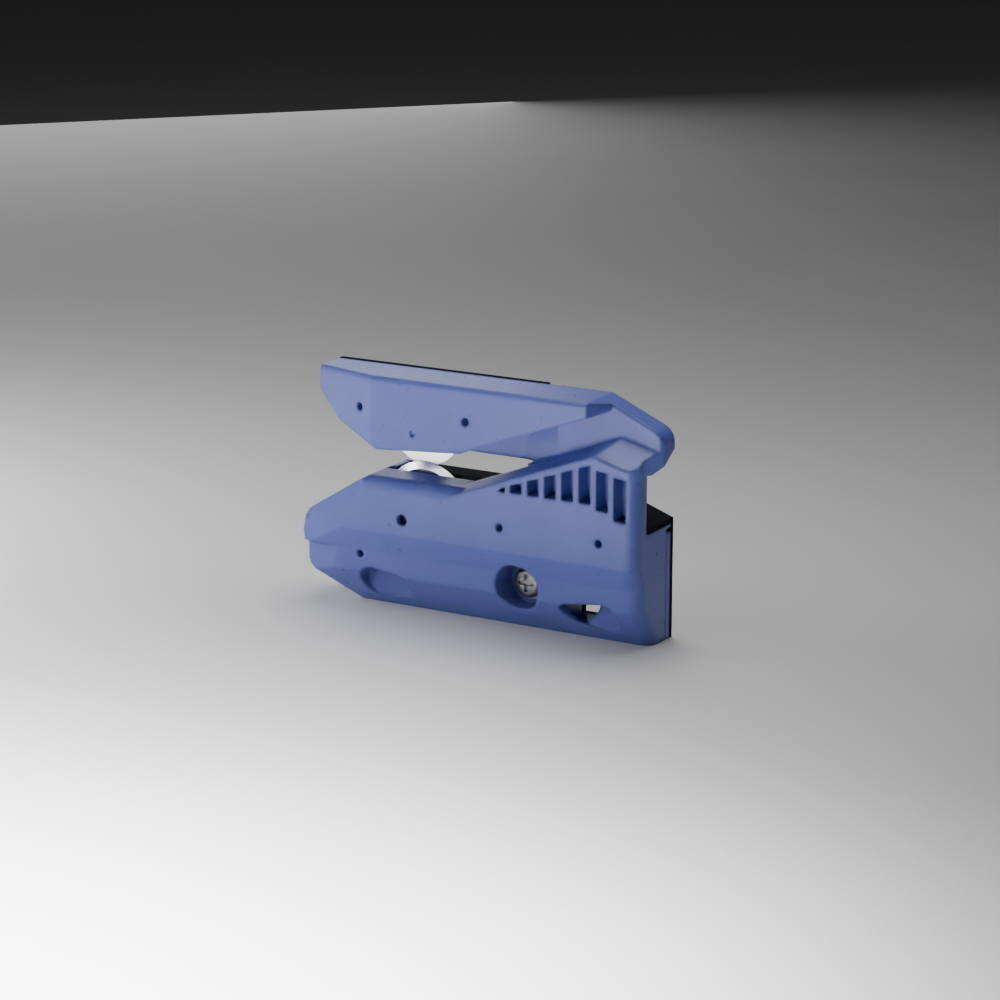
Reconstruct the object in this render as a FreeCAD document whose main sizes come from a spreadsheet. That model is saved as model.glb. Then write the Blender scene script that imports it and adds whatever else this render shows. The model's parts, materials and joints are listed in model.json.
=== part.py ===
"""Rotary shear cutter head for sheet and film: one moulded body with a mouth, two round blades
that overlap at a cut plane, a ramp that lifts the front strip and a channel for the rear one.

Drawing axes: X to the right along the travel, Y back from the front face, Z up from the deck.
Every sub-part is then placed so that the origin of the model is at its bottom centre.
"""
import FreeCAD, Part
import os
import Sketcher

DOC = FreeCAD.newDocument("cutter_head")
DIM = DOC.addObject("Spreadsheet::Sheet", "dim")

SIZES = (
    # place of the drawing axes in the model
    ("shift_x", 10.325), ("shift_y", -10.25), ("shift_z", 35.4),
    # overall form of the moulded body
    ("body_right", 38.0), ("body_bottom", -35.4), ("deck_z", 0.9), ("deck_depth", 10.3),
    ("shell_depth", 19.7), ("total_depth", 20.5), ("front_wall", 2.2),
    ("nose_start", -40.0), ("nose_tip", -61.95), ("nose_low", -60.6), ("heel_x", -47.4),
    # lower front faces: a band that leans in, a flat belt and a chin
    ("band_top", -13.5), ("band_bottom", -19.5), ("belt_y", 2.4), ("belt_bottom", -25.6),
    ("belt_low_y", 2.8), ("chin_y", 10.2),
    # facets of the nose and of the jaw
    ("nose_crease_x", -38.9), ("nose_crease_run", -8.8), ("nose_crease_drop", -14.1),
    ("nose_facet_slope", 0.3456), ("belt_crease_x", -50.0), ("belt_facet_slope", 0.21),
    ("jaw_crease_x", -37.9), ("jaw_facet_slope", 0.2655),
    # jaw, web and hook
    ("jaw_left", -56.3), ("jaw_top", 27.5), ("jaw_left_bottom", 21.3), ("jaw_depth", 14.5),
    ("jaw_bottom", 8.55), ("web_bottom", 8.0), ("hook_right", 41.3), ("hook_start", 24.0),
    ("hook_slope", 0.443), ("hook_round", 4.5), ("web_y", 8.0), ("cut_y", 12.2),
    ("jaw_right", 24.2), ("jaw_end_lean", 0.36), ("plow_tip", 0.9), ("plow_end", 12.0),
    # ramp and exit facet
    ("ramp_slope", 0.3814), ("ramp_peak_x", 26.0), ("ramp_peak_z", 14.4), ("wall_depth", 6.2),
    ("crease_run_x", 0.5375), ("crease_run_z", 0.485), ("exit_slope", -0.28),
    ("under_low", 10.0), ("under_rise", 0.65), ("foot_start", 24.3), ("foot_slope", -0.365),
    # blades and their axles
    ("axle_x", -29.0), ("upper_z", 13.2), ("lower_z", -9.3), ("upper_blade_radius", 10.6),
    ("lower_blade_radius", 12.9), ("blade_thick", 1.0), ("blade_gap", 0.05), ("blade_bevel", 1.9),
    ("chamber_gap", 0.7),
    # screws
    ("cover_screw", 2.1), ("centre_x", 3.2), ("centre_z", -23.2), ("counterbore", 12.4),
    ("centre_floor", 11.4), ("pocket_z", -28.4), ("pocket_round", 4.35), ("left_pocket_x", -40.2),
    ("right_pocket_x", 27.3), ("pocket_floor", 8.4),
    # rear covers
    ("cover_plate", 0.8), ("cover_lip", 0.2), ("flange", 1.2), ("upper_cover", 1.4), ("plug", 1.5),
    ("cover_gap", 0.1), ("screw_boss", 5.6), ("boss_end", 18.1), ("slot_back", 13.0), ("shallow_core", 4.2),
    # rounded edges
    ("corner_round", 3.6), ("deck_round", 3.2), ("jaw_round", 1.0),
    # vents in the ramp wall
    ("vent_start", 2.8), ("vent_pitch", 4.87), ("vent_width", 3.35), ("vent_bottom", 2.2),
    ("vent_top", 4.15), ("vent_rise", 1.74), ("vent_depth", 5.0),
    # bores of the axles and their rear seats, threaded inserts
    ("upper_bore", 3.02), ("lower_bore", 4.02), ("left_insert_x", -24.5), ("right_insert_x", 30.5),
    ("insert_z", -28.0), ("insert_start", 14.5), ("seam_y", 17.0), ("seam_top", -7.5),
    # upper stack, along the axle from front to back
    ("hub_front", 7.2), ("spacer", 0.3), ("upper_bearing", 3.0), ("upper_axle_radius", 1.5),
    ("upper_ball_pitch", 2.6), ("upper_ball_radius", 0.44), ("upper_seat", 3.9),
    # lower stack
    ("spring_radius", 3.1), ("spring_wire", 0.6), ("spring_start", 4.15), ("spring_pitch", 0.9),
    ("spring_height", 2.7), ("lower_axle_radius", 2.0), ("lower_ball_pitch", 3.3),
    ("lower_ball_radius", 0.54), ("lower_bearing", 4.0), ("washer", 0.4), ("lower_seat", 5.5),
    # centre screw
    ("head_front", 7.4), ("head_back", 9.8), ("head_radius", 4.0), ("shank_radius", 1.93),
    ("centre_hole", 3.98),
)
for row, (alias, number) in enumerate(SIZES, start=1):
    DIM.set("A%d" % row, alias)
    DIM.set("B%d" % row, str(number))
    DIM.setAlias("B%d" % row, alias)
DOC.recompute()


FOOT_END = "dim.deck_z + dim.foot_slope * (dim.body_right - dim.foot_start)"
AXLE_X = "dim.axle_x"
SCREW_SPOTS = {
    "upper": (("-42", "18.9"), ("-10.1", "18.8")),
    "lower": (("-0.3", "-7.3"), ("27.9", "-7.5"), ("-43.3", "-20.8")),
}

COVER_SEAT = (
    ("-40.2", "-1.9"), ("-58", "-12.6"), ("-59.2", "-16.5"), ("-58.9", "-25.2"), ("-47", "-33.8"),
    ("36.4", "-33.8"), ("36.4", "-5.8"), ("24.6", "-1.9"))
COVER_PLUG = (
    ("-40.1", "-2.1"), ("-57.8", "-12.75"), ("-59", "-16.5"), ("-58.7", "-25.1"), ("-46.9", "-33.6"),
    ("36.2", "-33.6"), ("36.2", "-5.95"), ("24.5", "-2.1"))
WINDOW = (
    ("13.7", "-25.6"), ("24.3", "-25.6"), ("24.1", "-26.9"), ("23.4", "-28.2"), ("22.2", "-29.5"),
    ("20.8", "-31"), ("18.8", "-32.2"), ("13.7", "-32.2"))
DECK_LOW = "dim.deck_z - dim.flange"
FOOT_LOW = "dim.deck_z - dim.flange + dim.foot_slope * (40 - dim.foot_start)"
SHELL_SIDE = (
    ("dim.nose_start", "dim.deck_z"), ("-60.2", "-11.2"), ("-61.5", "-13.2"),
    ("dim.nose_tip", "-16.8"), ("-60.9", "-19.6"), ("dim.nose_low", "-21"),
    ("dim.nose_low", "-24.8"), ("-59.8", "-26.3"), ("dim.heel_x", "dim.body_bottom"))
INSERT_SPOTS = {
    "centre_insert": ("dim.centre_x", "dim.centre_z", "2", "2.8", "dim.shell_depth - dim.plug"),
    "left_insert": ("dim.left_insert_x", "dim.insert_z", "1.5", "2.3", "dim.insert_start"),
    "right_insert": ("dim.right_insert_x", "dim.insert_z", "1.5", "2.3", "dim.insert_start"),
}


def value(formula):
    """Number that a formula on the sheet's cells gives."""
    return float(DIM.evalExpression(str(formula)))


def new_body(label):
    """Empty body whose drawing axes sit at their place in the model."""
    made = DOC.addObject("PartDesign::Body", label)
    made.Label = label
    for axis in "xyz":
        made.setExpression("Placement.Base." + axis, "dim.shift_" + axis)
    return made


def new_sketch(body, role, level="0"):
    """Sketch on an origin plane of the body, moved along the drawing axis normal to it."""
    sketch = body.newObject("Sketcher::SketchObject", body.Label + "_sketch")
    plane = next(item for item in body.Origin.OriginFeatures if item.Role == role)
    sketch.AttachmentSupport = (plane, [""])
    sketch.MapMode = "FlatFace"
    sign = "-" if role == "XZ_Plane" else ""
    sketch.setExpression("AttachmentOffset.Base.z", "%s(%s)" % (sign, level))
    return sketch


def bind(sketch, kind, arguments, formula):
    """Adds one dimension to a sketch and binds it to the sheet."""
    index = sketch.addConstraint(Sketcher.Constraint(kind, *arguments, value(formula)))
    sketch.setExpression("Constraints[%d]" % index, str(formula))


def outline(sketch, corners):
    """Closed outline of straight sides whose corners are pairs of formulas."""
    spots = [FreeCAD.Vector(value(u), value(v), 0) for u, v in corners]
    first = sketch.GeometryCount
    count = len(corners)
    for index, spot in enumerate(spots):
        sketch.addGeometry(Part.LineSegment(spot, spots[(index + 1) % count]), False)
    for index in range(count):
        after = first + (index + 1) % count
        sketch.addConstraint(Sketcher.Constraint("Coincident", first + index, 2, after, 1))
    for index, (u, v) in enumerate(corners, start=first):
        bind(sketch, "DistanceX", (-1, 1, index, 1), u)
        bind(sketch, "DistanceY", (-1, 1, index, 1), v)
    return sketch


def circle(sketch, u, v, diameter):
    """Circle with its centre and diameter bound to the sheet."""
    spot = FreeCAD.Vector(value(u), value(v), 0)
    round_edge = Part.Circle(spot, FreeCAD.Vector(0, 0, 1), value(diameter) / 2)
    index = sketch.addGeometry(round_edge, False)
    bind(sketch, "DistanceX", (-1, 1, index, 3), u)
    bind(sketch, "DistanceY", (-1, 1, index, 3), v)
    bind(sketch, "Diameter", (index,), diameter)
    return sketch


def feature(body, kind, sketch, length, away=False, direction=None):
    """Pad or Pocket of a sketch; its volume change is checked, so nothing is cut in thin air."""
    before = body.Shape.Volume if body.Tip else 0.0
    made = body.newObject("PartDesign::" + kind, body.Label + "_" + kind.lower())
    made.Profile = sketch
    if length == "through":
        made.Type = "ThroughAll"
        made.Midplane = True
    else:
        made.setExpression("Length", str(length))
    made.Reversed = away
    if direction:
        made.UseCustomVector = True
        made.Direction = FreeCAD.Vector(*[value(part) for part in direction])
        made.AlongSketchNormal = True
    DOC.recompute()
    change = body.Shape.Volume - before
    if (kind == "Pad") != (change > 0) or abs(change) < 0.01:
        raise RuntimeError("%s of %s changed the volume by %.3f" % (kind, body.Label, change))
    return made


def pad(body, sketch, length, **options):
    return feature(body, "Pad", sketch, length, **options)


def pocket(body, sketch, length, **options):
    return feature(body, "Pocket", sketch, length, **options)


def round_edges(body, spots, radius, kind="Fillet"):
    """Rounds the edges that pass nearest to the given spots, in drawing axes."""
    base = body.Tip
    edges = base.Shape.Edges
    names = []
    for spot in spots:
        point = Part.Vertex(FreeCAD.Vector(*[value(part) for part in spot]))
        nearest = min(range(len(edges)), key=lambda index: point.distToShape(edges[index])[0])
        names.append("Edge%d" % (nearest + 1))
    made = body.newObject("PartDesign::" + kind, body.Label + "_" + kind.lower())
    made.Base = (base, sorted(set(names)))
    made.setExpression("Radius" if kind == "Fillet" else "Size", str(radius))
    DOC.recompute()
    if not made.Shape.isValid() or "Invalid" in made.State or "Error" in made.State:
        raise RuntimeError("%s of %s failed" % (kind, body.Label))
    return made


def main_body_blank():
    """Solid outside form of the moulded body: jaw, web, hook, ramp wall and lower shell."""
    body = new_body("main_body")
    jaw = outline(new_sketch(body, "XZ_Plane"), (
        ("dim.jaw_left", "dim.jaw_top"), ("dim.jaw_left", "dim.jaw_left_bottom"),
        ("-49.9", "14.4"), ("-36.3", "dim.jaw_bottom"), ("-13", "dim.web_bottom"),
        ("dim.hook_right", "dim.web_bottom"),
        ("dim.hook_right", "dim.jaw_top - dim.hook_slope * (dim.hook_right - dim.hook_start)"),
        ("dim.hook_start", "dim.jaw_top")))
    pad(body, jaw, "dim.jaw_depth", away=True)
    wall = outline(new_sketch(body, "XZ_Plane"), (
        ("-14", "-1"), ("-14", "1.5"), ("5", "8.7"), ("dim.body_right", "8.7"),
        ("dim.body_right", "-8"), ("14", "-8")))
    pad(body, wall, "dim.wall_depth", away=True)
    under_jaw = outline(new_sketch(body, "XZ_Plane"), (
        ("-36.3", "dim.jaw_bottom"), ("-11.6", "10.35"), ("-6.35", "12.6"), ("28", "25.08"),
        ("28", "17.4"), ("-14", "1.4"), ("-36.3", "1.4")))
    pocket(body, under_jaw, "dim.cut_y")
    plow = outline(new_sketch(body, "XY_Plane", "dim.web_bottom"), (
        ("dim.plow_tip", "dim.cut_y"), ("dim.plow_end", "dim.web_y"), ("28", "dim.web_y"),
        ("28", "dim.cut_y + 0.5"), ("dim.plow_tip", "dim.cut_y + 0.5")))
    pad(body, plow, "17.5")
    beside_jaw = outline(new_sketch(body, "XY_Plane", "18.3"), (
        ("dim.jaw_right - dim.jaw_end_lean", "-1"), ("60", "-1"), ("60", "dim.web_y"),
        ("dim.jaw_right + dim.jaw_end_lean * dim.web_y", "dim.web_y")))
    pocket(body, beside_jaw, "30", away=True)
    above_ramp = outline(new_sketch(body, "XZ_Plane"), (
        ("-30", "dim.ramp_peak_z - dim.ramp_slope * (dim.ramp_peak_x + 30)"),
        ("dim.ramp_peak_x", "dim.ramp_peak_z"),
        ("60", "dim.ramp_peak_z + dim.exit_slope * (60 - dim.ramp_peak_x)"),
        ("60", "22"), ("24", "19.5"), ("-9", "7.4"), ("-30", "3")))
    pocket(body, above_ramp, "dim.web_y", direction=("dim.crease_run_x", "1", "dim.crease_run_z"))
    return body


def lower_shell(body):
    """Lower half: deck, nose and foot, with the leaning band, belt and chin at the front."""
    side = outline(new_sketch(body, "XZ_Plane"), SHELL_SIDE + (
        ("dim.body_right", "dim.body_bottom"), ("dim.body_right", FOOT_END),
        ("dim.foot_start", "dim.deck_z")))
    pad(body, side, "dim.shell_depth", away=True)
    chin = outline(new_sketch(body, "YZ_Plane"), (
        ("-1", "dim.band_top"), ("0", "dim.band_top"), ("dim.belt_y", "dim.band_bottom"),
        ("dim.belt_low_y", "dim.belt_bottom"), ("dim.chin_y", "dim.body_bottom"),
        ("dim.chin_y", "-37"), ("-1", "-37")))
    pocket(body, chin, "through")


def facets(body):
    """Slanted facets at the left end of the nose, the belt and the jaw, and the right corner."""
    nose = outline(new_sketch(body, "XY_Plane", "dim.deck_z"), (
        ("dim.nose_crease_x", "0"), ("-80", "dim.nose_facet_slope * (80 + dim.nose_crease_x)"),
        ("-80", "-3"), ("dim.nose_crease_x", "-3")))
    pocket(body, nose, "dim.deck_z - dim.band_bottom",
           direction=("dim.nose_crease_run", "0", "dim.nose_crease_drop"))
    belt = outline(new_sketch(body, "XY_Plane", "dim.band_bottom"), (
        ("dim.belt_crease_x", "dim.belt_y"),
        ("-70", "dim.belt_y + dim.belt_facet_slope * (70 + dim.belt_crease_x)"),
        ("-70", "-3"), ("dim.belt_crease_x", "-3")))
    pocket(body, belt, "20")
    jaw = outline(new_sketch(body, "XY_Plane", "dim.web_bottom - 1"), (
        ("dim.jaw_crease_x", "0"), ("-70", "dim.jaw_facet_slope * (70 + dim.jaw_crease_x)"),
        ("-70", "-3"), ("dim.jaw_crease_x", "-3")))
    pocket(body, jaw, "30", away=True)
    under_hook = outline(new_sketch(body, "YZ_Plane", "28"), (
        ("dim.wall_depth", "dim.under_low - 4"), ("dim.wall_depth", "dim.under_low"),
        ("16", "dim.under_low + dim.under_rise * (16 - dim.wall_depth)"),
        ("16", "dim.under_low - 4")))
    pocket(body, under_hook, "20", away=True)
    beside_ramp = outline(new_sketch(body, "YZ_Plane", "dim.body_right"), (
        ("-1", "dim.under_low - 4"), ("-1", "dim.under_low"), ("dim.wall_depth + 0.1", "dim.under_low"),
        ("dim.wall_depth + 0.1", "dim.under_low - 4")))
    pocket(body, beside_ramp, "10", away=True)
    corner = outline(new_sketch(body, "XY_Plane", "dim.web_bottom - 1"), (
        ("dim.body_right", "-1"), ("dim.body_right", "4.4"), ("dim.hook_right + 0.4", "9.8"),
        ("50", "9.8"), ("50", "-1")))
    pocket(body, corner, "20", away=True)


def soften(body):
    """Rounded outside edges of the moulded body."""
    hook_corner = "dim.jaw_top - dim.hook_slope * (dim.hook_right - dim.hook_start)"
    round_edges(body, (("dim.hook_right", "11", hook_corner),), "dim.hook_round")
    round_edges(body, (
        ("dim.body_right", "0", "-5"), ("dim.body_right", "1.2", "-16.5"),
        ("dim.body_right", "2.6", "-22.5"), ("dim.body_right", "6.5", "-30.5")), "dim.corner_round")
    round_edges(body, (("-25", "0", "dim.deck_z"),), "dim.deck_round")
    round_edges(body, (("0", "0", "dim.jaw_top"), ("-50", "3.2", "dim.jaw_top")), "dim.jaw_round")


def cavities(body):
    """Hollow inside of the lower shell, chambers for the blades and cores in the jaw."""
    deep = outline(new_sketch(body, "XZ_Plane", "dim.shell_depth"), (
        ("-38", "dim.deck_z - 2.2"), ("35.5", "dim.deck_z - 2.2"), ("35.5", "-12.5"), ("-38", "-12.5")))
    pocket(body, deep, "dim.shell_depth - dim.front_wall", away=True)
    middle = outline(new_sketch(body, "XZ_Plane", "dim.shell_depth"), (
        ("-46", "-12.4"), ("35.5", "-12.4"), ("35.5", "-24"), ("-46", "-24")))
    pocket(body, middle, "dim.shell_depth - 6.6", away=True)
    low = outline(new_sketch(body, "XZ_Plane", "dim.shell_depth"), (
        ("-45", "-23.9"), ("35.5", "-23.9"), ("35.5", "-33.4"), ("-45", "-33.4")))
    pocket(body, low, "dim.shell_depth - 12.4", away=True)
    nose = outline(new_sketch(body, "XZ_Plane", "dim.shell_depth"), (
        ("-39", "-1.3"), ("-56.6", "-11.9"), ("-57.6", "-16"), ("-57", "-24"), ("-44", "-30"),
        ("-37", "-12")))
    pocket(body, nose, "dim.shell_depth - 9", away=True)
    seat = outline(new_sketch(body, "XZ_Plane", "dim.shell_depth"), COVER_SEAT)
    pocket(body, seat, "dim.plug", away=True)
    for low_x, high_x, start in (
            ("-38.2", "-13.2", "dim.deck_depth"), ("-13.3", "40", "dim.wall_depth + 0.3")):
        level = new_sketch(body, "XZ_Plane", start)
        if low_x == "-38.2":
            rebate = outline(level, (
                (low_x, DECK_LOW), (high_x, DECK_LOW), (high_x, "3"), (low_x, "3")))
        else:
            rebate = outline(level, (
                (low_x, DECK_LOW), ("dim.foot_start", DECK_LOW), (high_x, FOOT_LOW),
                (high_x, "3"), (low_x, "3")))
        pocket(body, rebate, "dim.total_depth")
    slot = outline(new_sketch(body, "XY_Plane", "dim.deck_z + 1"), (
        ("dim.axle_x - 10.8", "dim.deck_depth"), ("dim.axle_x + 10.8", "dim.deck_depth"),
        ("dim.axle_x + 10.8", "dim.slot_back"), ("dim.axle_x - 10.8", "dim.slot_back")))
    pocket(body, slot, "5")
    chamber = circle(new_sketch(body, "XZ_Plane", "dim.shell_depth"), AXLE_X, "dim.lower_z",
                     "2 * (dim.lower_blade_radius + dim.chamber_gap)")
    pocket(body, chamber, "dim.shell_depth - dim.deck_depth", away=True)
    shallow = new_sketch(body, "XZ_Plane", "dim.jaw_depth")
    for corners in (
            (("-54.3", "25.5"), ("-54.3", "22"), ("-49.5", "16.9"), ("-46.2", "15.5"), ("-46.2", "25.5")),
            (("13.5", "10.4"), ("26.5", "10.4"), ("26.5", "23.4"), ("24", "23.4"), ("13.5", "19.7")),
            (("28.7", "17.2"), ("38.6", "17.2"), ("38.6", "18.7"), ("28.7", "23.1"))):
        outline(shallow, corners)
    pocket(body, shallow, "dim.shallow_core", away=True)
    long_cores = new_sketch(body, "XZ_Plane", "dim.jaw_depth")
    for corners in (
            (("-5.5", "25.5"), ("-5.5", "15.3"), ("4", "18.8"), ("4", "25.5")),
            (("7", "25.5"), ("7", "19.9"), ("21", "24.9"), ("21", "25.5"))):
        outline(long_cores, corners)
    pocket(body, long_cores, "dim.jaw_depth - 3", away=True)
    blade_chamber = circle(new_sketch(body, "XZ_Plane", "dim.jaw_depth"), AXLE_X, "dim.upper_z",
                           "2 * (dim.upper_blade_radius + dim.chamber_gap)")
    pocket(body, blade_chamber, "dim.jaw_depth - 11.7", away=True)
    hub_chamber = circle(new_sketch(body, "XZ_Plane", "11.8"), AXLE_X, "dim.upper_z", "10")
    pocket(body, hub_chamber, "4.6", away=True)


def bosses(body):
    """Posts for the cover screws, the lower axle and the centre screw, and their holes."""
    for (x, z), start in zip(SCREW_SPOTS["lower"], ("2.1", "2.1", "5")):
        post = circle(new_sketch(body, "XZ_Plane", start), x, z, "dim.screw_boss")
        pad(body, post, "dim.boss_end - %s" % start, away=True)
    pad(body, circle(new_sketch(body, "XZ_Plane", "2.1"), AXLE_X, "dim.lower_z", "8"), "1.7", away=True)
    well = circle(new_sketch(body, "XZ_Plane", "7"), AXLE_X, "dim.lower_z", "8.4")
    pocket(body, well, "3.2", away=True)
    pad(body, circle(new_sketch(body, "XZ_Plane", "6.5"), "dim.centre_x", "dim.centre_z", "16.4"),
        "dim.boss_end - 6.5", away=True)
    screw_holes = new_sketch(body, "XZ_Plane")
    for x, z in SCREW_SPOTS["upper"] + SCREW_SPOTS["lower"]:
        circle(screw_holes, x, z, "dim.cover_screw")
    pocket(body, screw_holes, "through")
    pocket(body, circle(new_sketch(body, "XZ_Plane", "8"), AXLE_X, "dim.upper_z", "dim.upper_bore"), "5.8",
           away=True)
    pocket(body, circle(new_sketch(body, "XZ_Plane", "5"), AXLE_X, "dim.lower_z", "dim.lower_bore"), "3.4",
           away=True)
    pocket(body, circle(new_sketch(body, "XZ_Plane", "-1"), AXLE_X, "dim.lower_z", "3"), "4")
    pocket(body, circle(new_sketch(body, "XZ_Plane", "-1"), "-25.7", "13.8", "1.6"), "1.6")


def front_openings(body):
    """Vents in the ramp wall, the counterbore of the centre screw and the two cord pockets."""
    for start, diameter, depth in (("-1", "dim.counterbore", "dim.centre_floor + 1"),
                                   ("dim.centre_floor - 1", "dim.centre_hole", "8")):
        hole = circle(new_sketch(body, "XZ_Plane", start), "dim.centre_x", "dim.centre_z", diameter)
        pocket(body, hole, depth)
    vents = new_sketch(body, "XZ_Plane", "-1")
    outline(vents, (("-0.7", "2.35"), ("1.35", "1.8"), ("1.35", "3.5")))
    for number in range(5):
        left = "dim.vent_start + %d * dim.vent_pitch" % number
        right = left + " + dim.vent_width"
        top = "dim.vent_top + %d * dim.vent_rise" % number
        outline(vents, (
            (left, "dim.vent_bottom"), (right, "dim.vent_bottom"), (right, top + " + 0.9"), (left, top)))
    for left, low, high in (("27.15", "1", "11.05"), ("32", "-1.1", "9.85")):
        right = left + " + dim.vent_width"
        outline(vents, ((left, low), (right, low + " - 0.35"), (right, high + " - 0.5"), (left, high)))
    pocket(body, vents, "dim.vent_depth + 1")
    for x, point in (
            ("dim.left_pocket_x", (("-32.3", "-25.1"), ("-30.3", "-26.3"), ("-29.6", "-30.1"),
                                   ("-30.6", "-31.6"))),
            ("dim.right_pocket_x", (("16.2", "-25.4"), ("14.8", "-27"), ("15.8", "-28.8"),
                                    ("18.6", "-30.8")))):
        end = circle(new_sketch(body, "XZ_Plane", "-1"), x, "dim.pocket_z", "2 * dim.pocket_round")
        pocket(body, end, "dim.pocket_floor + 1")
        wedge = outline(new_sketch(body, "XZ_Plane", "-1"), ((x, "-24.05"),) + point + ((x, "-32.75"),))
        pocket(body, wedge, "dim.pocket_floor + 1")
    slit = outline(new_sketch(body, "XZ_Plane", "dim.pocket_floor - 1"), (
        ("-31.6", "-26.6"), ("-30.7", "-26.6"), ("-30", "-30.6"), ("-30.9", "-30.6")))
    pocket(body, slit, "6")


def window(body):
    """Tunnel from the right cord pocket out through the back of the shell."""
    tube = outline(new_sketch(body, "XZ_Plane", "dim.pocket_floor + 2"), (
        ("11.8", "-34"), ("26", "-34"), ("26", "-23.9"), ("11.8", "-23.9")))
    pad(body, tube, "dim.shell_depth - dim.plug - dim.cover_gap - dim.pocket_floor - 2", away=True)
    hole = outline(new_sketch(body, "XZ_Plane", "dim.pocket_floor - 0.1"), WINDOW)
    pocket(body, hole, "20")


def end_seam(body):
    """Shallow seam down the right end with a small notch at its top."""
    seam = outline(new_sketch(body, "XZ_Plane", "dim.seam_y"), (
        ("dim.body_right - 0.3", "-37"), ("40", "-37"), ("40", "dim.seam_top"),
        ("dim.body_right - 0.3", "dim.seam_top")))
    pocket(body, seam, "0.3")
    notch = outline(new_sketch(body, "XZ_Plane", "dim.seam_y"), (
        ("dim.body_right - 0.8", "dim.seam_top"), ("40", "dim.seam_top"), ("40", "dim.seam_top + 1.2"),
        ("dim.body_right - 0.8", "dim.seam_top + 1.2")))
    pocket(body, notch, "2.8")


def moulded_body():
    """Main body as one moulding."""
    body = main_body_blank()
    lower_shell(body)
    facets(body)
    soften(body)
    cavities(body)
    bosses(body)
    window(body)
    front_openings(body)
    end_seam(body)
    return body


def lower_rear_cover():
    """Black cover that closes the back of the lower shell and floors the rear film channel."""
    body = new_body("lower_rear_cover")
    right = "dim.body_right + dim.cover_lip"
    plate = outline(new_sketch(body, "XZ_Plane", "dim.shell_depth"), SHELL_SIDE + (
        (right, "dim.body_bottom"), (right, FOOT_END), ("dim.foot_start", "dim.deck_z")))
    pad(body, plate, "dim.cover_plate", away=True)
    start = "dim.shell_depth - dim.plug"
    pad(body, outline(new_sketch(body, "XZ_Plane", start), COVER_PLUG), "dim.plug + 0.1", away=True)
    floor = outline(new_sketch(body, "XY_Plane", DECK_LOW), (
        ("-38.05", "dim.slot_back + 0.1"), ("-18.05", "dim.slot_back + 0.1"),
        ("-18.05", "dim.deck_depth + 0.1"), ("-13.1", "dim.deck_depth + 0.1"),
        ("-13.1", "dim.wall_depth + 0.4"), ("dim.foot_start", "dim.wall_depth + 0.4"),
        ("dim.foot_start", "dim.total_depth"),
        ("-38.05", "dim.total_depth")))
    pad(body, floor, "dim.flange")
    foot_drop = "dim.foot_slope * (dim.body_right + dim.cover_lip - dim.foot_start)"
    foot = outline(new_sketch(body, "XZ_Plane", "dim.wall_depth + 0.4"), (
        ("dim.foot_start - 0.1", DECK_LOW), ("dim.foot_start", DECK_LOW),
        (right, DECK_LOW + " + " + foot_drop), (right, FOOT_END), ("dim.foot_start", "dim.deck_z"),
        ("dim.foot_start - 0.1", "dim.deck_z")))
    pad(body, foot, "dim.total_depth - dim.wall_depth - 0.4", away=True)
    axle_post = circle(new_sketch(body, "XZ_Plane", "15.5"), AXLE_X, "dim.lower_z", "7")
    pad(body, axle_post, "3", away=True)
    for name in ("left_insert", "right_insert"):
        x, z = INSERT_SPOTS[name][:2]
        post = circle(new_sketch(body, "XZ_Plane", "dim.insert_start"), x, z, "7.4")
        pad(body, post, "4", away=True)
    pocket(body, outline(new_sketch(body, "XZ_Plane", "15"), WINDOW), "10")
    seat = circle(new_sketch(body, "XZ_Plane", "15"), AXLE_X, "dim.lower_z", "dim.lower_bore + 0.02")
    pocket(body, seat, "3.8")
    for x, z, inner, outer, start in INSERT_SPOTS.values():
        pocket(body, circle(new_sketch(body, "XZ_Plane", "14"), x, z, "2 * %s + 0.02" % outer), "10")
    screw_holes = new_sketch(body, "XZ_Plane", "15")
    heads = new_sketch(body, "XZ_Plane", "dim.total_depth - 1.3")
    for x, z in SCREW_SPOTS["lower"]:
        circle(screw_holes, x, z, "2.4")
        circle(heads, x, z, "4.6")
    pocket(body, screw_holes, "10")
    pocket(body, heads, "5")
    return body


def upper_rear_cover():
    """Black plate on the back of the jaw; it holds the rear end of the upper axle."""
    body = new_body("upper_rear_cover")
    plate = outline(new_sketch(body, "XZ_Plane", "dim.jaw_depth"), (
        ("-56.6", "27.65"), ("-56.6", "21.2"), ("-50.1", "14.2"), ("-36.4", "8.4"), ("-18", "8.4"),
        ("5.4", "8.2"), ("5.4", "27.65")))
    pad(body, plate, "dim.upper_cover", away=True)
    seat = circle(new_sketch(body, "XZ_Plane", "dim.jaw_depth - 1"), AXLE_X, "dim.upper_z",
                  "dim.upper_bore + 0.04")
    pocket(body, seat, "1.9")
    screw_holes = new_sketch(body, "XZ_Plane", "dim.jaw_depth - 1")
    heads = new_sketch(body, "XZ_Plane", "dim.jaw_depth + dim.upper_cover - 0.9")
    for x, z in SCREW_SPOTS["upper"]:
        circle(screw_holes, x, z, "2.4")
        circle(heads, x, z, "4.6")
    pocket(body, screw_holes, "5")
    pocket(body, heads, "5")
    return body


def turned(label, x, z, profile):
    """Part turned about an axis along Y; the profile gives radius and place along that axis."""
    body = DOC.addObject("PartDesign::Body", label)
    body.Label = label
    body.Placement.Rotation = FreeCAD.Rotation(FreeCAD.Vector(1, 0, 0), -90)
    body.setExpression("Placement.Base.x", "dim.shift_x + %s" % x)
    body.setExpression("Placement.Base.y", "dim.shift_y")
    body.setExpression("Placement.Base.z", "dim.shift_z + %s" % z)
    sketch = outline(new_sketch(body, "XZ_Plane"), profile)
    made = body.newObject("PartDesign::Revolution", label + "_turning")
    made.Profile = sketch
    made.ReferenceAxis = (sketch, ["V_Axis"])
    made.Angle = 360
    DOC.recompute()
    return body


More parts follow.
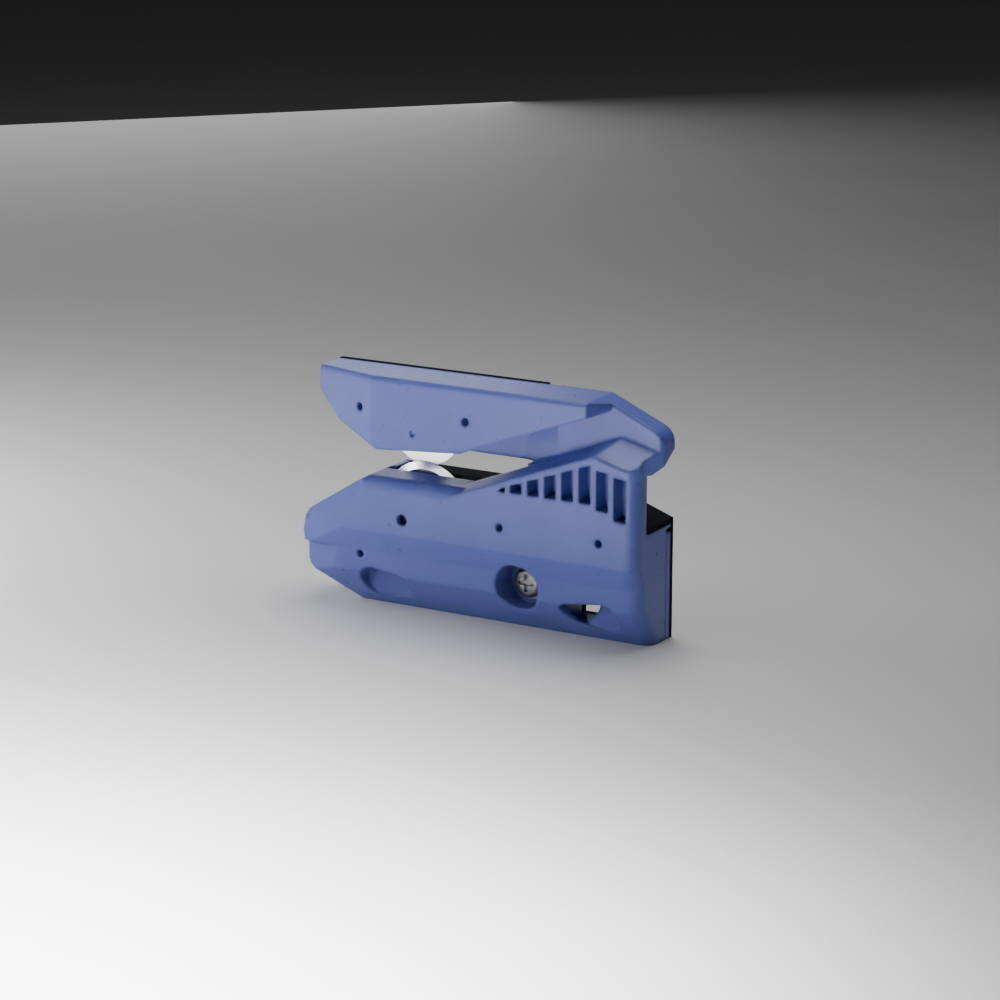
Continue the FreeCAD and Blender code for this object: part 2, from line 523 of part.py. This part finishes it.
def ring(label, x, z, inner, outer, start, length):
    """Plain ring or disc on an axis along Y."""
    end = "%s + %s" % (start, length)
    return turned(label, x, z, ((inner, start), (outer, start), (outer, end), (inner, end)))


def ball_set(label, z, pitch, radius, level, count):
    """Balls of one bearing, evenly spaced about the axle."""
    balls = []
    for number in range(count):
        ball = DOC.addObject("Part::Sphere", "%s_%d" % (label, number + 1))
        ball.setExpression("Radius", radius)
        turn = "%d * 360 deg / %d" % (number, count)
        ball.setExpression("Placement.Base.x",
                           "(dim.shift_x + dim.axle_x + %s * cos(%s)) * 1 mm" % (pitch, turn))
        ball.setExpression("Placement.Base.y", "(dim.shift_y + %s) * 1 mm" % level)
        ball.setExpression("Placement.Base.z",
                           "(dim.shift_z + %s + %s * sin(%s)) * 1 mm" % (z, pitch, turn))
        balls.append(ball)
    group = DOC.addObject("Part::Compound", label)
    group.Label = label
    group.Links = balls
    DOC.recompute()
    return group


def cage(label, z, pitch, radius, level, height, count):
    """Ball cage: a thin ring with one round window for each ball."""
    start = "%s - %s / 2" % (level, height)
    body = ring(label, AXLE_X, z, pitch + " - 0.25", pitch + " + 0.25", start, height)
    hole = circle(new_sketch(body, "YZ_Plane"), "0", level, "2 * %s + 0.12" % radius)
    made = pocket(body, hole, "8", away=True)
    pattern = body.newObject("PartDesign::PolarPattern", label + "_windows")
    pattern.Originals = [made]
    pattern.Axis = (hole, ["V_Axis"])
    pattern.Angle = 360
    pattern.Occurrences = count
    body.Tip = pattern
    DOC.recompute()
    return body


def upper_stack():
    """Fixed upper axle with a ball bearing, hub, round blade and clamp ring."""
    z = "dim.upper_z"
    front = "dim.hub_front + dim.spacer"
    back = front + " + dim.upper_bearing"
    seat = "dim.upper_seat"
    cut = "dim.cut_y + dim.blade_gap"
    behind = cut + " + dim.blade_thick"
    level = front + " + dim.upper_bearing / 2"
    axle = "dim.upper_axle_radius"
    return [
        turned("upper_axle", AXLE_X, z, (
            ("0", "2.3"), (axle, "2.3"), (axle, back + " + 0.05"), (axle + " - 0.35", back + " + 0.05"),
            (axle + " - 0.35", back + " + 0.5"), (axle, back + " + 0.5"), (axle, "15.3"), ("0", "15.3"))),
        ring("upper_spacer", AXLE_X, z, axle + " + 0.05", "2.5", "dim.hub_front", "dim.spacer"),
        ring("upper_inner_ring", AXLE_X, z, axle + " + 0.02", "2.15", front, "dim.upper_bearing"),
        ball_set("upper_balls", z, "dim.upper_ball_pitch", "dim.upper_ball_radius", "(%s)" % level, 7),
        cage("upper_cage", z, "dim.upper_ball_pitch", "dim.upper_ball_radius", level, "1.6", 7),
        ring("upper_outer_ring", AXLE_X, z, "3.05", "3.5", front, "dim.upper_bearing"),
        turned("upper_hub", AXLE_X, z, (
            ("3.52", "7.7"), ("4.5", "7.7"), ("4.5", cut), (seat, cut), (seat, "14"), ("3", "14"),
            ("3", back + " + 0.05"), ("3.52", back + " + 0.05"))),
        turned("upper_blade", AXLE_X, z, (
            (seat + " + 0.02", cut), ("dim.upper_blade_radius", cut),
            ("dim.upper_blade_radius", cut + " + 0.12"),
            ("dim.upper_blade_radius - dim.blade_bevel", behind), (seat + " + 0.02", behind))),
        ring("upper_clamp_ring", AXLE_X, z, seat + " + 0.02", "5.5", behind, "0.7"),
        ring("upper_clip", AXLE_X, z, axle + " - 0.3", "2.6", back + " + 0.07", "0.4"),
    ]


def pressure_spring():
    """Round wire spring that presses the lower bearing, hub and blade towards the upper blade."""
    body = DOC.addObject("PartDesign::Body", "pressure_spring")
    body.Label = "pressure_spring"
    body.Placement.Rotation = FreeCAD.Rotation(FreeCAD.Vector(1, 0, 0), -90)
    body.setExpression("Placement.Base.x", "dim.shift_x + dim.axle_x")
    body.setExpression("Placement.Base.y", "dim.shift_y")
    body.setExpression("Placement.Base.z", "dim.shift_z + dim.lower_z")
    wire = circle(new_sketch(body, "XZ_Plane"), "dim.spring_radius", "dim.spring_start", "dim.spring_wire")
    coil = body.newObject("PartDesign::AdditiveHelix", "pressure_spring_coil")
    coil.Profile = wire
    coil.ReferenceAxis = (wire, ["V_Axis"])
    coil.Mode = 0
    coil.setExpression("Pitch", "dim.spring_pitch")
    coil.setExpression("Height", "dim.spring_height")
    DOC.recompute()
    return body


def lower_stack():
    """Fixed lower axle, spring, sliding bearing, and the hub, round blade and clamp ring on it."""
    z = "dim.lower_z"
    front = "dim.hub_front + dim.washer"
    back = front + " + dim.lower_bearing"
    level = front + " + dim.lower_bearing / 2"
    seat = "dim.lower_seat"
    blade = "dim.cut_y - dim.blade_thick"
    axle = "dim.lower_axle_radius"
    return [
        turned("lower_axle", AXLE_X, z, (
            ("0", "2.7"), (axle, "2.7"), (axle, back + " + 0.1"), (axle + " - 0.4", back + " + 0.1"),
            (axle + " - 0.4", back + " + 0.6"), (axle, back + " + 0.6"), (axle, "18.6"), ("0", "18.6"))),
        pressure_spring(),
        ring("thrust_washer", AXLE_X, z, axle + " + 0.06", "3.5", "dim.hub_front", "dim.washer"),
        ring("lower_inner_ring", AXLE_X, z, axle + " + 0.03", "2.75", front, "dim.lower_bearing"),
        ball_set("lower_balls", z, "dim.lower_ball_pitch", "dim.lower_ball_radius", "(%s)" % level, 8),
        cage("lower_cage", z, "dim.lower_ball_pitch", "dim.lower_ball_radius", level, "1.8", 8),
        ring("lower_outer_ring", AXLE_X, z, "3.85", "4.5", front, "dim.lower_bearing"),
        turned("lower_hub", AXLE_X, z, (
            ("4.52", "7.8"), ("6", "7.8"), ("6", "10.2"), ("7.5", "10.2"), ("7.5", blade), (seat, blade),
            (seat, "13"), ("3.8", "13"), ("3.8", back + " + 0.05"), ("4.52", back + " + 0.05"))),
        turned("lower_blade", AXLE_X, z, (
            (seat + " + 0.02", blade), ("dim.lower_blade_radius - dim.blade_bevel", blade),
            ("dim.lower_blade_radius", "dim.cut_y - 0.12"), ("dim.lower_blade_radius", "dim.cut_y"),
            (seat + " + 0.02", "dim.cut_y"))),
        ring("lower_clamp_ring", AXLE_X, z, seat + " + 0.02", "7.5", "dim.cut_y", "0.7"),
        ring("lower_clip", AXLE_X, z, axle + " - 0.35", "3.4", back + " + 0.12", "0.4"),
    ]


def screw(label, x, z, head, shank, recess, into=""):
    """Pan-head screw along Y: head and shank each give radius, start and end."""
    radius, start, end = head
    depths = ["%s + (%s - %s) * %s" % (start, end, start, part) for part in ("0.1", "0.28", "0.6")]
    body = turned(label, x, z, (
        ("0", start), (radius + " * 0.45", start), (radius + " * 0.75", depths[0]),
        (radius + " * 0.93", depths[1]), (radius, depths[2]), (radius, end), (shank[0], end),
        (shank[0], shank[1]), ("0", shank[1])))
    cross = new_sketch(body, "XY_Plane", start)
    half = "%s / 2" % recess[0]
    slim = "%s / 9" % recess[0]
    outline(cross, (
        ("-" + half, "-" + slim), ("-" + slim, "-" + slim), ("-" + slim, "-" + half), (slim, "-" + half),
        (slim, "-" + slim), (half, "-" + slim), (half, slim), (slim, slim), (slim, half),
        ("-" + slim, half), ("-" + slim, slim), ("-" + half, slim)))
    pocket(body, cross, recess[1], away=(into != "front"))
    return body


def fasteners():
    """Centre screw with its washers, cover screws and threaded inserts."""
    x, z = "dim.centre_x", "dim.centre_z"
    made = [
        screw("centre_screw", x, z, ("dim.head_radius", "dim.head_front", "dim.head_back"),
              ("dim.shank_radius", "20.2"), ("4.6", "1.1")),
        ring("lock_washer", x, z, "2.1", "3.8", "dim.head_back", "0.8"),
        ring("flat_washer", x, z, "2.15", "5", "dim.head_back + 0.8", "0.8"),
    ]
    for name, (x, z, inner, outer, start) in INSERT_SPOTS.items():
        made.append(ring(name, x, z, inner, outer, start, "dim.total_depth - (%s)" % start))
    for number, (x, z) in enumerate(SCREW_SPOTS["lower"], start=1):
        made.append(screw("lower_screw_%d" % number, x, z, ("2.1", "20.45", "19.25"), ("1", "9"),
                          ("2.4", "0.7"), into="front"))
    for number, (x, z) in enumerate(SCREW_SPOTS["upper"], start=1):
        made.append(screw("upper_screw_%d" % number, x, z, ("2.1", "15.85", "15.05"), ("1", "7"),
                          ("2.4", "0.5"), into="front"))
    return made


def write_parts(pieces):
    """Checks every object and every shape, then writes one file for each piece."""
    for item in DOC.Objects:
        if "Invalid" in item.State or "Error" in item.State:
            raise RuntimeError("%s is in error" % item.Label)
    os.makedirs("parts", exist_ok=True)
    for piece in pieces:
        if piece.Shape.isNull() or not piece.Shape.isValid() or not piece.Shape.Solids:
            raise RuntimeError("%s has no valid solid" % piece.Label)
        piece.Shape.exportStep("parts/%s.step" % piece.Label)


write_parts([moulded_body(), lower_rear_cover(), upper_rear_cover()] + upper_stack() + lower_stack()
            + fasteners())
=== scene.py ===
"""Looks, light and camera for the rotary shear cutter head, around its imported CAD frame."""
import json
import math

import bpy
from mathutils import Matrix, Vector


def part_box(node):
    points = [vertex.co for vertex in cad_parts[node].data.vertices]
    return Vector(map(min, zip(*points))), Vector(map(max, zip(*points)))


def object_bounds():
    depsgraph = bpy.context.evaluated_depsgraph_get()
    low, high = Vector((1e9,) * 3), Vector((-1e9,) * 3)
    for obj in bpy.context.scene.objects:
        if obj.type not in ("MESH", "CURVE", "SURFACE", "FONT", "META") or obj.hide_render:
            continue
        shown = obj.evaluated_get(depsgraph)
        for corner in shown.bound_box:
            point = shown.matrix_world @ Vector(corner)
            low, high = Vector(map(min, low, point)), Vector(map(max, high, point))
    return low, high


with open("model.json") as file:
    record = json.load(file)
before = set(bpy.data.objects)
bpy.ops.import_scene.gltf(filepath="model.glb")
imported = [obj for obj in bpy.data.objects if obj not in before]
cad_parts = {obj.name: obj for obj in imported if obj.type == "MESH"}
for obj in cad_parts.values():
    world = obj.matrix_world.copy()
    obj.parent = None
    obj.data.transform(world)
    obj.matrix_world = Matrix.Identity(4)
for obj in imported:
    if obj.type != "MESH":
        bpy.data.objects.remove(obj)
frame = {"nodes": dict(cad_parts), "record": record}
CAD_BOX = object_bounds()

MM = 0.001


def middle(box):
    """Middle of a box, from its lowest and highest corners."""
    low, high = box
    return (Vector(low) + Vector(high)) / 2


CENTRE = middle(CAD_BOX)


class Material:
    """Node material with short calls for the nodes used here."""

    def __init__(self, name, colour, roughness, metallic=0.0):
        self.data = bpy.data.materials.new(name)
        self.data.use_nodes = True
        self.tree = self.data.node_tree
        self.shader = self.tree.nodes["Principled BSDF"]
        self.shader.inputs["Base Color"].default_value = (*colour, 1)
        self.shader.inputs["Roughness"].default_value = roughness
        self.shader.inputs["Metallic"].default_value = metallic
        self.place = self.add("ShaderNodeTexCoord").outputs["Object"]

    def add(self, kind, links=(), **values):
        """Adds a node, sets its properties and inputs, and links sockets into it."""
        node = self.tree.nodes.new(kind)
        for name, setting in values.items():
            if hasattr(node, name):
                setattr(node, name, setting)
            else:
                node.inputs[name.replace("_", " ")].default_value = setting
        for name, socket in links:
            self.tree.links.new(socket, node.inputs[name])
        return node

    def noise(self, size, detail, place=None):
        """Noise with features of about the given size, in metres or in the units of place."""
        links = [("Vector", place or self.place)]
        return self.add("ShaderNodeTexNoise", links, Scale=1 / size, Detail=detail).outputs["Fac"]

    def between(self, socket, low, high, start=0.3, end=0.7):
        """Maps a 0 to 1 socket onto a range of values."""
        node = self.add("ShaderNodeMapRange", [("Value", socket)])
        ends = {"From Min": start, "From Max": end, "To Min": low, "To Max": high}
        for name, setting in ends.items():
            node.inputs[name].default_value = setting
        return node.outputs["Result"]

    def maths(self, operation, first, second=0.0):
        """Maths node; the second operand is a socket or a number, and SQRT takes none."""
        node = self.add("ShaderNodeMath", [(0, first)], operation=operation)
        if isinstance(second, (int, float)):
            node.inputs[1].default_value = second
        else:
            self.tree.links.new(second, node.inputs[1])
        return node.outputs["Value"]

    def blend(self, factor, low, high):
        """Mix of two colours, each a triple or a socket."""
        node = self.add("ShaderNodeMix", [("Factor", factor)], data_type="RGBA")
        for socket, colour in ((node.inputs[6], low), (node.inputs[7], high)):
            if isinstance(colour, tuple):
                socket.default_value = (*colour, 1)
            else:
                self.tree.links.new(colour, socket)
        return node.outputs[2]

    def edges(self, radius):
        """Normal with softly rounded edges, and a mask that is 1 on those edges."""
        normal = self.add("ShaderNodeBevel", samples=6, Radius=radius).outputs["Normal"]
        flat = self.add("ShaderNodeNewGeometry").outputs["Normal"]
        same = self.add("ShaderNodeVectorMath", [(0, normal), (1, flat)], operation="DOT_PRODUCT")
        return normal, self.between(same.outputs["Value"], 1.0, 0.0, 0.9, 0.998)

    def bump(self, height, strength, distance, normal=None):
        """Bump chained on an earlier normal."""
        links = [("Height", height)]
        if normal is not None:
            links.append(("Normal", normal))
        node = self.add("ShaderNodeBump", links, Strength=strength, Distance=distance)
        return node.outputs["Normal"]

    def link(self, name, socket):
        """Links a socket into a named input of the shader."""
        self.tree.links.new(socket, self.shader.inputs[name])


def scaled(colour, factor):
    """The colour made darker or lighter."""
    return tuple(part * factor for part in colour)


def moulded(name, colour, roughness, rounding, edge_highlight_strength, shine):
    """Moulded polymer: fine spark texture with painted glints in its specks, faint flow clouds,
    handling marks, and a painted highlight along the rounded edges, patchy with the marks.
    """
    darker, lighter, glint, edge_tone = (scaled(colour, factor) for factor in (0.94, 1.06, 1.25, 1.5))
    made = Material(name, colour, roughness)
    normal, edge = made.edges(rounding)
    clouds = made.noise(size=18 * MM, detail=3.0)
    grain = made.noise(size=0.22 * MM, detail=2.0)
    marks = made.noise(size=2.6 * MM, detail=6.0)
    tone = made.blend(made.between(clouds, 0.0, 1.0), darker, lighter)
    # Lighter specks in the grain: painted glints of the spark texture.
    tone_with_glints = made.blend(made.between(grain, 0.0, 0.16), tone, glint)
    # Lighter rounded edges: a painted highlight along the fillets, made patchy by the marks noise.
    painted_edge_highlight = made.maths("MULTIPLY", edge, made.between(marks, 0.25 * edge_highlight_strength, edge_highlight_strength))
    made.link("Base Color", made.blend(painted_edge_highlight, tone_with_glints, edge_tone))
    made.link("Roughness", made.between(marks, roughness - 0.03, roughness + 0.05))
    marked = made.bump(marks, strength=0.02, distance=0.05 * MM, normal=normal)
    made.link("Normal", made.bump(grain, strength=0.1, distance=0.02 * MM, normal=marked))
    made.shader.inputs["Specular IOR Level"].default_value = shine
    return made.data


def ground_steel(name, colour, roughness, centre, ring):
    """Steel ground in circles about an axis along Y; ring is the width of one grinding line."""
    dull, bright, stained = (scaled(colour, factor) for factor in (0.96, 1.03, 0.7))
    angle_stretch = 1.3
    made = Material(name, colour, roughness, 1.0)
    moved = made.add("ShaderNodeVectorMath", [(0, made.place)], operation="SUBTRACT")
    moved.inputs[1].default_value = centre
    split = made.add("ShaderNodeSeparateXYZ", [("Vector", moved.outputs["Vector"])])
    squares = [made.maths("MULTIPLY", split.outputs[part], split.outputs[part]) for part in "XZ"]
    away = made.maths("SQRT", made.maths("ADD", *squares))
    turn = made.maths("ARCTAN2", split.outputs["X"], split.outputs["Z"])
    across = made.maths("MULTIPLY", away, 1 / ring)
    along = made.maths("MULTIPLY", turn, angle_stretch)
    rings = made.add("ShaderNodeCombineXYZ", [("X", across), ("Y", along)])
    lines = made.noise(size=1.0, detail=5.0, place=rings.outputs["Vector"])
    stain = made.noise(size=4 * MM, detail=4.0)
    tone = made.blend(made.between(lines, 0.0, 1.0), dull, bright)
    made.link("Base Color", made.blend(made.between(stain, 0.0, 0.25), tone, stained))
    made.link("Roughness", made.between(lines, roughness - 0.03, roughness + 0.04))
    rounded = made.edges(0.15 * MM)[0]
    made.link("Normal", made.bump(lines, strength=0.08, distance=0.01 * MM, normal=rounded))
    made.shader.inputs["Anisotropic"].default_value = 0.4
    return made.data


def plain_metal(name, colour, roughness, rounding=0.12 * MM):
    """Turned or plated metal with fine scratches and a little staining."""
    stained, clean, edge_tone = (scaled(colour, factor) for factor in (0.82, 1.06, 1.25))
    made = Material(name, colour, roughness, 1.0)
    normal, edge = made.edges(rounding)
    stretch = made.add("ShaderNodeMapping", [("Vector", made.place)])
    stretch.inputs["Scale"].default_value = (1.0, 9.0, 1.0)
    lines = made.noise(size=0.5 * MM, detail=4.0, place=stretch.outputs["Vector"])
    stain = made.noise(size=1.8 * MM, detail=5.0)
    tone = made.blend(made.between(stain, 0.0, 1.0), stained, clean)
    made.link("Base Color", made.blend(made.maths("MULTIPLY", edge, 0.5), tone, edge_tone))
    made.link("Roughness", made.between(lines, roughness - 0.06, roughness + 0.1))
    made.link("Normal", made.bump(lines, strength=0.15, distance=0.01 * MM, normal=normal))
    return made.data


def studio_floor():
    """Plain pale floor with a faint powdery unevenness."""
    pale, darker, lighter = ((tone,) * 3 for tone in (0.62, 0.61, 0.63))
    made = Material("floor_finish", pale, 0.75)
    clouds = made.noise(size=90 * MM, detail=2.0)
    made.link("Base Color", made.blend(made.between(clouds, 0.0, 1.0), darker, lighter))
    made.link("Roughness", made.between(clouds, 0.7, 0.8))
    made.shader.inputs["Specular IOR Level"].default_value = 0.2
    mesh = bpy.data.meshes.new("floor")
    half = 6.0
    corners = [(-half, -half, 0), (half, -half, 0), (half, half, 0), (-half, half, 0)]
    mesh.from_pydata(corners, [], [(0, 1, 2, 3)])
    floor = bpy.data.objects.new("floor", mesh)
    bpy.context.collection.objects.link(floor)
    mesh.materials.append(made.data)


BLUE = (0.105, 0.138, 0.45)
BLACK = (0.008, 0.009, 0.012)
STEEL = (0.62, 0.63, 0.65)
BEARING_STEEL = (0.66, 0.66, 0.68)
# Dark steel tone: the own finish of the dark steel parts, and painted shade on the lower axle deep in
# its hole.
DARK_AND_SHADED_STEEL = (0.3, 0.3, 0.31)
BLADE_STEEL = (0.9, 0.91, 0.93)
BRASS = (0.72, 0.55, 0.26)


def finishes():
    """One material for each material slot of the record, apart from the blades."""
    return {
        "blue_polymer": moulded(
            "blue_moulding", BLUE, roughness=0.3, rounding=1.4 * MM, edge_highlight_strength=0.12, shine=0.4),
        "black_polymer": moulded(
            "black_moulding", BLACK, roughness=0.75, rounding=0.25 * MM, edge_highlight_strength=0.6, shine=0.05),
        "hub_polymer": moulded(
            "hub_moulding", scaled(BLACK, 2.0), roughness=0.5, rounding=0.1 * MM, edge_highlight_strength=0.6, shine=0.3),
        "bearing_steel": plain_metal("bearing_steel", BEARING_STEEL, 0.18, 0.05 * MM),
        "steel": plain_metal("turned_steel", STEEL, 0.3),
        # Dark steel: partly a real dark finish, partly painted shade standing in for the shadow on the
        # lower axle inside its hole.
        "dark_steel": plain_metal("dark_and_shaded_steel", DARK_AND_SHADED_STEEL, 0.34, 0.2 * MM),
        "brass": plain_metal("brass", BRASS, 0.3),
    }


def dress():
    """Gives every CAD node its material."""
    slots = {part["node"]: part["material_slot"] for part in frame["record"]["subparts"]}
    shared = finishes()
    for name, node in frame["nodes"].items():
        if slots[name] == "blade_steel":
            axis = middle(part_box(name))
            finish = ground_steel(name + "_steel", BLADE_STEEL, 0.2, axis, ring=0.16 * MM)
        else:
            finish = shared[slots[name]]
        for slot in node.material_slots:
            slot.material = finish


def area_light(name, place, target, size, power, spread=180):
    """Soft rectangular light aimed at a point, in metres, watts and degrees."""
    data = bpy.data.lights.new(name, "AREA")
    data.shape = "RECTANGLE"
    data.size, data.size_y = size
    data.energy = power
    data.spread = math.radians(spread)
    lamp = bpy.data.objects.new(name, data)
    lamp.location = place
    lamp.rotation_euler = (Vector(target) - Vector(place)).to_track_quat("-Z", "Y").to_euler()
    bpy.context.collection.objects.link(lamp)


def light_pool(name, x, y, height, side, power, spread):
    """Square light facing straight down; its narrow spread keeps it to a pool on the floor."""
    area_light(name, (x, y, height), (x, y, 0), (side, side), power, spread)


def studio():
    """Low window behind on the left, boxes above, and pools of light on the floor in front."""
    studio_floor()
    area_light("window", place=(-0.7, 0.6, 0.2), target=CENTRE, size=(0.7, 0.7), power=1.75)
    area_light("high_box", place=(-0.1, 0.1, 0.6), target=CENTRE, size=(0.3, 0.3), power=1.1)
    area_light("near_box", place=(0.03, 0.06, 0.22), target=CENTRE, size=(0.2, 0.1), power=0.24)
    light_pool("left_pool", x=-0.3, y=-0.12, height=0.15, side=0.2, power=1.6, spread=150)
    light_pool("front_pool", x=0.03, y=-0.3, height=0.12, side=0.24, power=3.1, spread=125)
    light_pool("middle_pool", x=-0.1, y=-0.3, height=0.15, side=0.24, power=0.6, spread=150)
    world = bpy.data.worlds.new("room")
    bpy.context.scene.world = world
    world.use_nodes = True
    background = world.node_tree.nodes["Background"]
    background.inputs["Color"].default_value = (1, 1, 1, 1)
    background.inputs["Strength"].default_value = 0.02


def camera():
    """Long lens from the right of the front, a little above, aimed at a point on the front face."""
    side = math.radians(30)
    rise = math.radians(15)
    distance = 0.75
    target = Vector((10.325 * MM, CAD_BOX[0][1], 35.4 * MM))
    back = Vector((math.sin(side) * math.cos(rise), -math.cos(side) * math.cos(rise), math.sin(rise)))
    data = bpy.data.cameras.new("camera")
    data.lens = 108
    data.sensor_width = 36
    made = bpy.data.objects.new("camera", data)
    made.location = target + distance * back
    made.rotation_euler = back.to_track_quat("Z", "Y").to_euler()
    bpy.context.collection.objects.link(made)
    bpy.context.scene.camera = made


dress()
studio()
camera()
